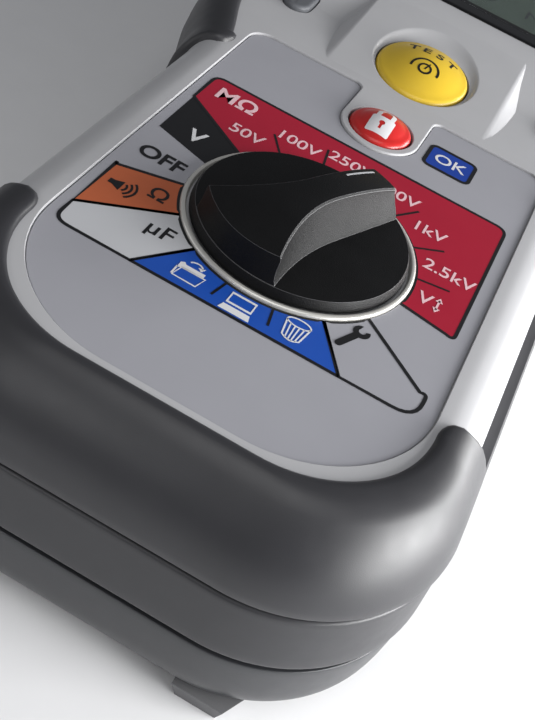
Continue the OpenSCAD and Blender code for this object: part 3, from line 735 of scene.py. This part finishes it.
def cover_shell():
    """The battery cover under the tail end."""
    shell = pan()
    shell.name = "battery_door"
    combine(shell, brick("rear_half", -WIDE, WIDE, COVER_END, LONG, BELOW, CUT_LOW))
    combine(shell, skin("pocket", rings([(4.4, 4.4, 5), (4.4, 4.4, CUT_LOW)])))
    for x in (DOOR_SCREW_X, -DOOR_SCREW_X):
        drill(shell, DOOR_SCREW_R, x, DOOR_SCREW_Y, BELOW, DOOR_SCREW_DEPTH, 32)
    return settle(shell, LOOKS["dark_shell"], replaced=["battery_cover"], bevel=0.25)


rear_shell()
rear_band()
cover_shell()


# ---- printed panel ----

label_levels = [(0, PANEL_Z - 0.38), (0, PANEL_Z - 0.08), (-0.08, PANEL_Z)]
label = pebble("panel_label", label_outline(0.0), label_levels)
drill(label, RING_R + 0.1, 0, DIAL.y)
settle(label, LOOKS["printed_panel"], replaced=["label_overlay"])

# The printed block's edges, from the dial's centre
GROUP_X0, GROUP_X1 = -31.6, 30.8
GROUP_Y0, GROUP_Y1 = -26.9, 31.1
PRINT_R = RING_R + 0.15


def toward(angle, r):
    """A point on the dial, its angle measured clockwise from the head end."""
    a = math.radians(angle)
    return r * math.sin(a), r * math.cos(a)


def rim_point(angle):
    """Where a ray from the dial's centre leaves the printed block."""
    dx, dy = toward(angle, 1)
    tx = (GROUP_X1 if dx > 0 else GROUP_X0) / dx if abs(dx) > 1e-6 else 1e9
    ty = (GROUP_Y1 if dy > 0 else GROUP_Y0) / dy if abs(dy) > 1e-6 else 1e9
    return dx * min(tx, ty), dy * min(tx, ty)


def round_corners(points, radii, n=6):
    """A closed polygon with its corners rounded, one radius to a corner."""
    found = []
    for i, p in enumerate(points):
        p, a, b = Vector(p), Vector(points[i - 1]), Vector(points[(i + 1) % len(points)])
        r = radii[i]
        if r == 0:
            found.append(tuple(p))
            continue
        u, v = (a - p).normalized(), (b - p).normalized()
        found += [tuple(p + u * r * (1 - t) ** 2 + v * r * t ** 2) for t in steps(0, 1, n)]
    return found


def sector(first, last, radii=None):
    """The part of the printed block between two angles in steps of the dial, from the ring to the block's
    edge, its outer corners rounded by radii."""
    start, end = first * STEP_ANGLE, last * STEP_ANGLE
    corners = []
    for x, y in ((GROUP_X0, GROUP_Y0), (GROUP_X0, GROUP_Y1), (GROUP_X1, GROUP_Y1), (GROUP_X1, GROUP_Y0)):
        for turn in (-360, 0, 360):
            angle = math.degrees(math.atan2(x, y)) + turn
            if start < angle < end:
                corners.append((angle, (x, y)))
    outer = [rim_point(start)] + [corner for _, corner in sorted(corners)] + [rim_point(end)]
    inner = [toward(a, PRINT_R) for a in steps(end, start, max(int((end - start) / 3), 2))]
    return round_corners(outer, radii or [0] * len(outer)) + inner


def shifted(points, dx, dy):
    return [(x + dx, y + dy) for x, y in points]


def stamp(name, outline, ink, z, body="case"):
    """A printed shape as a thin flat solid."""
    return settle(slab(name, outline, z, z + PRINT_H), ink, body)


def ribbon(points, width, closed=False):
    """The two sides of a line of even width."""
    n = len(points)
    sides = ([], [])
    for i, p in enumerate(points):
        a = Vector(points[i - 1] if closed or i > 0 else p)
        b = Vector(points[(i + 1) % n] if closed or i < n - 1 else p)
        along = (b - a).normalized()
        normal = Vector((-along.y, along.x)) * width / 2
        sides[0].append(tuple(Vector(p) + normal))
        sides[1].append(tuple(Vector(p) - normal))
    return sides


def line(name, points, width, z, closed=False):
    """A printed line as a thin flat solid."""
    left, right = ribbon(points, width, closed)
    n = len(points)
    vertices = [(x, y, h) for h in (z, z + PRINT_H) for x, y in left + right]
    faces = []
    for i in range(n if closed else n - 1):
        j = (i + 1) % n
        a, b, c, d = i, j, n + j, n + i
        faces += [(a, b, c, d), (d + 2 * n, c + 2 * n, b + 2 * n, a + 2 * n)]
        faces += [(b, a, a + 2 * n, b + 2 * n), (d, c, c + 2 * n, d + 2 * n)]
    if not closed:
        faces += [(0, n, 3 * n, 2 * n), (n - 1, 3 * n - 1, 4 * n - 1, 2 * n - 1)]
    return add(name, vertices, faces)


def on_dial(points):
    return shifted(points, DIAL.x, DIAL.y)


# Heights of the printed layers: colour fields, lines, characters
FILL_Z = PANEL_Z + 0.01
LINE_Z = PANEL_Z + 0.035
TEXT_Z = PANEL_Z + 0.06
BORDER_W = 0.66
TICK_W = 0.45

volts = sector(-3.5, -2.5, [1.2, 0])
megohms = sector(-2.5, 4.5, [0, 2.2, 2.2, 1.6])
ohms = sector(-5.5, -4.5, [0, 1.6])
farads = sector(-6.5, -5.5, [0, 2.6, 0])
files = sector(-9.5, -6.5)
tools = sector(5.5, 6.5, [1.2, 4, 0])
for name, shape, ink in (
    ("print_volts", volts, "ink_black"), ("print_megohms", megohms, "ink_red"),
    ("print_ohms", ohms, "ink_orange"), ("print_farads", farads, "ink_pale"),
    ("print_files", files, "ink_blue"),
):
    stamp(name, on_dial(shape), INKS[ink], FILL_Z)
borders = []
for shape in (megohms, ohms, farads, files, tools):
    borders.append(line("border", on_dial(shape), BORDER_W, LINE_Z, closed=True))
# Ticks between the steps: their outer radius, and where they stand in steps of the dial
for end, places in ((27.2, (-1.5, -0.5, 0.5, 1.5, 2.5, 3.5)), (25.2, (-7.5, 7.5))):
    for place in places:
        ends = [toward(place * STEP_ANGLE, r) for r in (21, end)]
        borders.append(line("tick", on_dial(ends), TICK_W, LINE_Z + 0.01))
settle(join("print_lines", borders), INKS["ink_black"])


def words(name, text, size, x, y, z=None, turn=0, bold=0.0):
    """Printed characters, centred on a point."""
    curve = bpy.data.curves.new(name, "FONT")
    curve.body = text
    curve.size = size * MM
    curve.align_x = "CENTER"
    curve.align_y = "CENTER"
    curve.extrude = 0.01 * MM
    curve.offset = bold * MM
    holder = new_object(name, curve)
    bpy.context.view_layer.update()
    mesh = bpy.data.meshes.new_from_object(holder.evaluated_get(bpy.context.evaluated_depsgraph_get()))
    bpy.data.objects.remove(holder)
    obj = new_object(name, mesh)
    obj.location = Vector((x, y, TEXT_Z if z is None else z)) * MM
    obj.rotation_euler.z = math.radians(turn)
    return obj


def bake_places(objects):
    """Moves each object's place and turn into its mesh."""
    bpy.context.view_layer.update()
    for o in objects:
        o.data.transform(o.matrix_world)
        o.matrix_world = Matrix.Identity(4)
    return objects


def print_words(name, entries, ink):
    """Printed characters in one ink, as one piece. Each entry is the text, its size, its place from the
    dial's centre and how much bolder it is."""
    made = []
    for text, size, x, y, bold in entries:
        made.append(words(name, text, size, DIAL.x + x, DIAL.y + y, bold=bold))
    return settle(join(name, bake_places(made)), ink)


RANGE_SIZE, RANGE_BOLD = 4.3, 0.03
RANGES = (
    ("50V", -19.0, 18.2), ("100V", -10.6, 23.7), ("250V", -0.2, 25.7), ("500V", 10.0, 24.2),
    ("1kV", 18.5, 18.4), ("2.5kV", 25.3, 9.4),
)
range_words = [(text, RANGE_SIZE, x, y, RANGE_BOLD) for text, x, y in RANGES]
print_words("print_ranges", [("MΩ", 5.6, -24.9, 26.2, 0.12)] + range_words, INKS["ink_rose"])
print_words("print_white", [("V", 5.2, -25.3, 9.8, 0.1)], INKS["ink_white"])
print_words("print_dark", [
    ("OFF", 4.9, -26.6, -0.8, 0.12), ("Ω", 4.6, -22.2, -9.9, 0.06), ("µF", 4.8, -17.7, -17.7, 0.06),
], INKS["ink_black"])


# The printed symbols' own unit
U = 0.84


def at(points):
    """Points in the print's own unit, on the dial."""
    return on_dial([(x * U, y * U) for x, y in points])


def icon(name, solids, lines, ink, z=TEXT_Z):
    """A printed symbol of filled outlines and of lines, each line as its points, closed or not, and width."""
    parts = [slab("shape", at(outline), z, z + PRINT_H) for outline in solids]
    for points, closed, width in lines:
        parts.append(line("line", at(points), width, z, closed=closed))
    return settle(join(name, parts), ink)


def speaker_icon():
    horn = [(-35.9, -15.5), (-34.9, -15.5), (-33.1, -16.4), (-33.1, -13.2), (-34.9, -14), (-35.9, -14)]
    waves = [(arc(-33.6, -14.8, r, -48, 48, 10), False, 0.42) for r in (1.5, 2.5, 3.5)]
    icon("print_speaker", [horn], waves, INKS["ink_black"])


def folder_icon():
    flap = [(-14.1, -27.5), (-14.1, -25.6), (-13.4, -25.2), (-12.9, -25.7)]
    flap += [(-8.8, -25.7), (-8.8, -26.8), (-13.4, -26.9)]
    front = [(-13.9, -29.7), (-9, -29.8), (-8.3, -26.9), (-13.3, -26.9)]
    back = [(-14.1, -27), (-14.1, -29.6)]
    sweep = arc(-11.3, -25.6, 1.7, 140, 30, 8)
    tip = [(-9.9, -25.6), (-10.8, -24.8), (-9.4, -24.4)]
    lines = [(front, True, 0.3), (back, False, 0.3), (sweep, False, 0.3)]
    icon("print_folder", [flap, tip], lines, INKS["ink_white"])


def laptop_icon():
    screen = [(-2.8, -28.9), (2.1, -28.9), (2.1, -26.1), (-2.8, -26.1)]
    base = [(-3.6, -31.3), (2.7, -31.3), (2.3, -29.7), (-3.1, -29.7)]
    icon("print_laptop", [base], [(screen, True, 0.5)], INKS["ink_white"])


def bin_icon():
    """A bin of an oval rim, a belly with a round foot, and ribs."""
    rim = [(10.45 + 2.4 * math.cos(a), -24.8 + 1.05 * math.sin(a)) for a in steps(0, 2 * math.pi, 24)[:-1]]
    foot = [(8.7 + 3.5 * t, -29.3 - 0.75 * math.sin(math.pi * t)) for t in steps(0, 1, 8)]
    lines = [(rim, True, 0.28), ([(8.05, -24.9)] + foot + [(12.85, -24.9)], False, 0.28)]
    for t in (0.22, 0.42, 0.6, 0.8):
        bow = math.sin(math.pi * t)
        rib = [(8.05 + 4.8 * t, -25.1 - 0.9 * bow), (8.75 + 3.4 * t, -29.3 - 0.7 * bow)]
        lines.append((rib, False, 0.24))
    icon("print_bin", [], lines, INKS["ink_white"])


def wrench_icon():
    """A spanner: an open jaw, and a handle with a round end."""
    head, handle = Vector((20.9, -18.3)), Vector((18.2, -24.0))
    jaw = arc(0, 0, 1.75, 110, 402, 20) + arc(0, 0.25, 0.75, 30, -210, 8)
    turn = Matrix.Rotation(math.radians(-14), 2)
    icon("print_wrench", [[tuple(head + turn @ Vector(p)) for p in jaw]], [], INKS["ink_black"])
    along = (handle - head).normalized()
    side = Vector((-along.y, along.x)) * 0.75
    bar = [head + along * 1.2 - side, head + along * 1.2 + side]
    bar += [handle + Matrix.Rotation(-a, 2) @ side for a in steps(0, math.pi, 8)]
    icon("print_wrench_handle", [[tuple(p) for p in bar]], [], INKS["ink_black"], TEXT_Z + 0.002)


def arrow_icon():
    rod = [(30.9, -1.4), (30.9, 1.9)]
    tips = [[(30.1, 1.3), (31.7, 1.3), (30.9, 2.7)], [(30.1, -0.8), (30.9, -2.2), (31.7, -0.8)]]
    icon("print_adjust", tips, [(rod, False, 0.38)], INKS["ink_rose"])


speaker_icon()
folder_icon()
laptop_icon()
bin_icon()
wrench_icon()
arrow_icon()
adjust_word = ("V", RANGE_SIZE, 28.1 * U, 0.2 * U, RANGE_BOLD)
print_words("print_adjust_volts", [adjust_word], INKS["ink_rose"])

KEY_X, KEY_Y = 18.2 * U, 51.05 * U
stamp("print_key", on_dial(rounded(KEY_X, KEY_Y, 9.4, 7.6, 1.1)), INKS["ink_key"], FILL_Z)
border = on_dial(rounded(KEY_X, KEY_Y, 9.7, 7.9, 1.3))
key_border = line("print_key_border", border, 0.8, LINE_Z, closed=True)
settle(key_border, INKS["ink_black"])
print_words("print_key_word", [("OK", 4.6, KEY_X, KEY_Y, 0.04)], INKS["ink_white"])


# ---- dial ring and range knob ----

RING_BORE = 19.7
# The ring's section: radius, height over the panel
RING_SECTION = [
    (RING_BORE, -0.4), (20.75, -0.4), (20.8, 0.2), (20.7, 0.45), (20.5, 0.62), (20.25, 0.7), (19.98, 0.64),
    (19.8, 0.45), (RING_BORE, 0.1),
]
ring = turned("dial_ring_trim", [(r, PANEL_Z + up) for r, up in RING_SECTION], 0, DIAL.y)
drill(ring, RING_BORE, 0, DIAL.y)
settle(ring, LOOKS["dial_ring"], replaced=["knob_ring"])

KNOB_R = (high("range_knob").x - low("range_knob").x) / 2
KNOB_TOP = high("range_knob").z
SKIRT_Z = PANEL_Z + 2.1
# How far past its step the nose stands
NOSE_TURN = 2
GRIP_HALF = 3.0
GRIP_FOOT = 5.7


def crown_z(p):
    """The height of the grip's top along its length."""
    return KNOB_TOP - 0.15 - 0.0074 * p * p


def turn_knob(obj):
    """Turns a piece of the knob, made with its nose along +Y, to rest and puts it on the dial."""
    obj.data.transform(Quaternion((0, 0, 1), -math.radians(STEP_ANGLE + NOSE_TURN)).to_matrix().to_4x4())
    obj.data.transform(Matrix.Translation((0, DIAL.y * MM, 0)))
    return obj


def grip_section(p):
    """The grip's cross-section at a distance towards its nose: narrow, with slanted sides, and spread like a
    fish's tail at the far end."""
    spread = max(2 - p, 0) ** 2
    top = GRIP_HALF + 0.0195 * spread
    foot = GRIP_FOOT + 0.0135 * spread
    crown = crown_z(p)
    wall = [(foot + 0.7, SKIRT_Z - 1), (foot, SKIRT_Z), (foot - 0.45, SKIRT_Z + 1.0)]
    wall += [((foot + top) / 2 - 0.3, (SKIRT_Z + crown) / 2), (top + 0.15, crown - 0.9)]
    wall += [(top, crown - 0.35), (top - 0.3, crown - 0.05), (top * 0.4, crown + 0.1)]
    return [(x, p, z) for x, z in wall] + [(-x, p, z) for x, z in reversed(wall)]


def range_knob():
    grip = skin("grip", [grip_section(p) for p in steps(-20, 17.8, 30)])
    limit = turned("limit", [
        (KNOB_R - 0.4, SKIRT_Z - 0.9), (KNOB_R - 0.8, SKIRT_Z + 0.2), (KNOB_R - 1.2, SKIRT_Z + 4),
        (KNOB_R - 1.6, KNOB_TOP + 0.6),
    ])
    combine(grip, limit, "INTERSECT")
    skirt = turned("knob", [
        (KNOB_R - 0.2, PANEL_Z + 0.05), (KNOB_R, PANEL_Z + 0.3), (KNOB_R - 0.15, SKIRT_Z - 0.9),
        (KNOB_R - 0.6, SKIRT_Z),
    ])
    combine(skirt, grip, "UNION")
    turn_knob(skirt)
    skirt.name = "knob_grip"
    # The knob's rounded edges take the lighter grey look: painted edge highlights
    return settle(
        skirt, LOOKS["knob_black"], "range_knob", ["range_knob"], 0.22, 28, LOOKS["knob_edge_highlight"]
    )


def knob_nose_strip():
    """A thin pale strip along the left side of the nose's top."""
    levels = []
    for p in steps(8.6, 16.3, 8):
        z = crown_z(p)
        levels.append([(-1.75, p, z - 0.2), (-1.4, p, z - 0.2), (-1.4, p, z + 0.12), (-1.75, p, z + 0.1)])
    return settle(turn_knob(skin("knob_nose_strip", levels)), INKS["ink_pale"], "range_knob")


range_knob()
knob_nose_strip()


# ---- buttons ----

DOME_EDGE = 1.4
# A domed button's shape: centre, radius, height of its edge, rise of its top, slope of its top
TEST_DOME = (TEST.y, TEST_R, PANEL_Z + 2.1, 2.25, TEST_SLOPE)
LOCK_SIDE = PANEL_Z + 1.1
LOCK_DOME = (LOCK.y, LOCK_R, LOCK_SIDE, high("lock_button").z - LOCK_SIDE, 0)


def dome(node, shape, flange):
    """A button: a flange under the shell, a short wall and a domed top that may slope towards the display."""
    y, r, side_z, rise, slope = shape
    base = low(node).z
    profile = [(r + flange, base), (r + flange, base + FLANGE_H), (r, base + FLANGE_H)]
    profile.append((r, side_z - DOME_EDGE))
    for t in steps(0, math.pi / 2, 5):
        profile.append((r - DOME_EDGE * (1 - math.cos(t)), side_z - DOME_EDGE * (1 - math.sin(t))))
    for t in steps(0, 1, 10)[1:]:
        profile.append(((r - DOME_EDGE) * (1 - t), side_z + rise * (1 - (1 - t) ** 2)))
    obj = turned(node + "_cap", profile, 0, y)
    for v in obj.data.vertices:
        if v.co.z > (side_z - DOME_EDGE - 0.1) * MM:
            v.co.z += slope * (v.co.y - y * MM)
    return settle(obj, LOOKS[SLOTS[node]], node, [node], angle=50)


dome("test_button", TEST_DOME, 1.6)
dome("lock_button", LOCK_DOME, 1.4)

# How high a print lies over its button, how far its cuts reach and how many there are
LIFT = 0.03
PRINT_REACH = 11
PRINT_CUTS = 27


def drape(name, obj, shape, ink, node):
    """A flat print laid over a domed button: cut into small squares, then moved to the button's height."""
    y, r, side_z, rise, slope = shape
    b = bmesh.new()
    b.from_mesh(obj.data)
    bpy.data.objects.remove(obj)
    for normal in (Vector((1, 0, 0)), Vector((0, 1, 0))):
        for k in range(-PRINT_CUTS, PRINT_CUTS + 1):
            place = Vector((0, y, 0)) * MM + normal * (k * PRINT_REACH * MM / PRINT_CUTS)
            geometry = b.verts[:] + b.edges[:] + b.faces[:]
            bmesh.ops.bisect_plane(b, geom=geometry, plane_co=place, plane_no=normal, dist=1e-7)
    for v in b.verts:
        dx, dy = v.co.x / MM, v.co.y / MM - y
        away = math.hypot(dx, dy) / (r - DOME_EDGE)
        v.co.z += (side_z + rise * (1 - away * away) + slope * dy + LIFT) * MM
    return settle(take(name, b), ink, node)


letters = bake_places([words("letter", c, 3.9, x, TEST.y + y, z=0, turn=t, bold=0.08) for c, x, y, t in (
    ("T", -4.4, 4.2, 4), ("E", -1.5, 4.4, 1), ("S", 1.6, 4.4, -1), ("T", 4.7, 4.2, -4),
)])
SIGN_X, SIGN_Y = 0.3, TEST.y - 2.7
needle = shifted([(-0.2, -0.2), (0.2, -0.2), (0.75, 1.9), (0.5, 2.0)], SIGN_X, SIGN_Y)
sign = [line("arc", arc(SIGN_X, SIGN_Y, 3.1, -10, 190, 24), 0.55, 0)]
sign.append(line("ring", arc(SIGN_X, SIGN_Y, 1.35, 0, 345, 23), 0.5, 0, closed=True))
sign.append(slab("needle", needle, 0, PRINT_H))
drape("print_test", join("test_marks", letters + sign), TEST_DOME, INKS["ink_black"], "test_button")

lock_body = slab("lock_body", rounded(0, LOCK.y - 2.2, 4.9, 4.7, 0.4, 4), 0, PRINT_H)
drill(lock_body, 0.62, 0, LOCK.y - 1.8, -1, 1, 20)
combine(lock_body, brick("slot", -0.28, 0.28, LOCK.y - 3.4, LOCK.y - 1.9, -1, 1))
SHACKLE_R, SHACKLE_Y = 1.5, LOCK.y + 2.3
shackle = [(-SHACKLE_R, LOCK.y)] + arc(0, SHACKLE_Y, SHACKLE_R, 180, 0, 12) + [(SHACKLE_R, LOCK.y)]
padlock = join("lock_marks", [lock_body, line("shackle", shackle, 0.9, 0)])
drape("print_lock", padlock, LOCK_DOME, INKS["ink_white"], "lock_button")


def arrow_key(node, points_up):
    """A long key with rounded edges and a raised arrow."""
    place, size = middle(node), high(node) - low(node)
    half, length = size.x / 2 - KEY_FLANGE, size.y - 2 * KEY_FLANGE
    base, top = low(node).z, high(node).z
    levels = [(KEY_FLANGE, base), (KEY_FLANGE, base + FLANGE_H), (0, base + FLANGE_H), (0, top - 0.8)]
    levels += [(-0.12, top - 0.4), (-0.4, top - 0.12), (-0.9, top)]
    cap = pebble(node + "_cap", rounded(place.x, place.y, 2 * half, length, half - 0.01, 12), levels)
    settle(cap, LOOKS["key_grey"], node, [node], angle=45)
    way = 1 if points_up else -1
    mark = [(-1.3, -0.9 * way), (1.3, -0.9 * way), (0, 1.3 * way)]
    mark = shifted(mark if way > 0 else mark[::-1], place.x, place.y)
    stamp(node + "_mark", mark, INKS["ink_white"], top, node)


arrow_key("up_key", True)
arrow_key("down_key", False)


# ---- display ----

def display_frame():
    """The display's black bezel with rounded edges, its opening and the seat for the window."""
    bottom, top, edge = low("display_bezel").z, high("display_bezel").z, 0.5
    levels = [(0, bottom), (0, top - edge), (-edge * 0.3, top - edge * 0.3), (-edge, top)]
    bezel = pebble("bezel", rounded(0, DISPLAY.y, BEZEL[0], BEZEL[1], 2.8, 10), levels)
    sink(bezel, rounded(0, DISPLAY.y, 62, 40, 1.2), bottom - 1, top + 1)
    sink(bezel, rounded(0, DISPLAY.y, 67, 45, 1.5), top - 1)
    return settle(bezel, LOOKS["bezel_black"], replaced=["display_bezel"])


def display_pane():
    bottom, top = low("display_window").z, high("display_window").z
    levels = [(0, bottom), (0, top - 0.2), (-0.2, top)]
    pane = pebble("display_pane", rounded(0, DISPLAY.y, 66.8, 44.8, 1.4), levels)
    return settle(pane, LOOKS["window_clear"], replaced=["display_window"])


display_frame()
display_pane()
LCD_Z = high("lcd_glass").z + 0.02
digits = bake_places([words("digit", text, size, x, DISPLAY.y + y, z=LCD_Z) for text, size, x, y in (
    ("0.00", 15, -8, -7), ("MΩ", 7, 17, -9), ("500 V", 6, -20, 15), ("0", 4, -25, 3), ("∞", 4, 25, 3),
)])


def scale_point(x, up=0):
    """A point on the display's curved scale, or over it."""
    return x, DISPLAY.y + 7 + 2.2 * math.cos(x / 12) + up


SCALE_HALF = 25
scale = [line("scale", [scale_point(x) for x in steps(-SCALE_HALF, SCALE_HALF, 30)], 0.5, LCD_Z)]
for x in steps(-SCALE_HALF, SCALE_HALF, 10):
    scale.append(line("mark", [scale_point(x), scale_point(x, 1.8)], 0.4, LCD_Z))
settle(join("lcd_marks", digits + scale), INKS["ink_black"])


# ---- stage ----

def studio():
    floor = skin("floor", [[(x, y, z) for x, y in rounded(0, 400, 4000, 4000, 20)] for z in (-20, 0)])
    floor.data.materials.append(surface("floor_paper", (222, 222, 223), 0.6, grain=0.5, bump=0.05, vary=0.01))
    world = bpy.data.worlds.new("studio")
    bpy.context.scene.world = world
    world.use_nodes = True
    world.node_tree.nodes["Background"].inputs["Color"].default_value = (0.9, 0.93, 1, 1)
    world.node_tree.nodes["Background"].inputs["Strength"].default_value = 0.17


def softbox(name, place, aim, size, power, spread=180):
    lamp = bpy.data.lights.new(name, "AREA")
    lamp.shape = "RECTANGLE"
    lamp.size, lamp.size_y = size[0] * MM, size[1] * MM
    lamp.energy = power
    lamp.spread = math.radians(spread)
    obj = new_object(name, lamp)
    obj.location = Vector(place) * MM
    obj.rotation_euler = (Vector(aim) - Vector(place)).to_track_quat("-Z", "Y").to_euler()


def camera():
    """The photo's view, with the tilt at which the photo was taken."""
    place, aim = Vector((22.1, -194.1, 150.3)), Vector((7.9, -84.2, 46.5))
    data = bpy.data.cameras.new("camera")
    data.lens = 52.27
    data.sensor_width = 36
    data.clip_start = 0.01
    obj = new_object("camera", data)
    obj.location = place * MM
    tilt = Quaternion((0, 0, 1), math.radians(24.26))
    obj.rotation_euler = ((aim - place).to_track_quat("-Z", "Y") @ tilt).to_euler()
    bpy.context.scene.camera = obj


studio()
softbox("key", (430, -80, 170), (0, -60, 30), (260, 240), 2.4)
softbox("side", (340, -120, 40), (45, -90, 30), (320, 220), 2.2)
softbox("top", (20, -230, 480), (0, -130, 0), (300, 300), 0.6)
softbox("sheen", (320, 200, 110), (45, -80, 36), (280, 160), 1.7)
softbox("fill", (-420, -160, 200), (0, -40, 30), (300, 300), 0.22)
softbox("paper", (-170, -480, 260), (-130, -340, 0), (160, 160), 0.27, 70)
camera()
bpy.context.scene.view_settings.view_transform = "Standard"
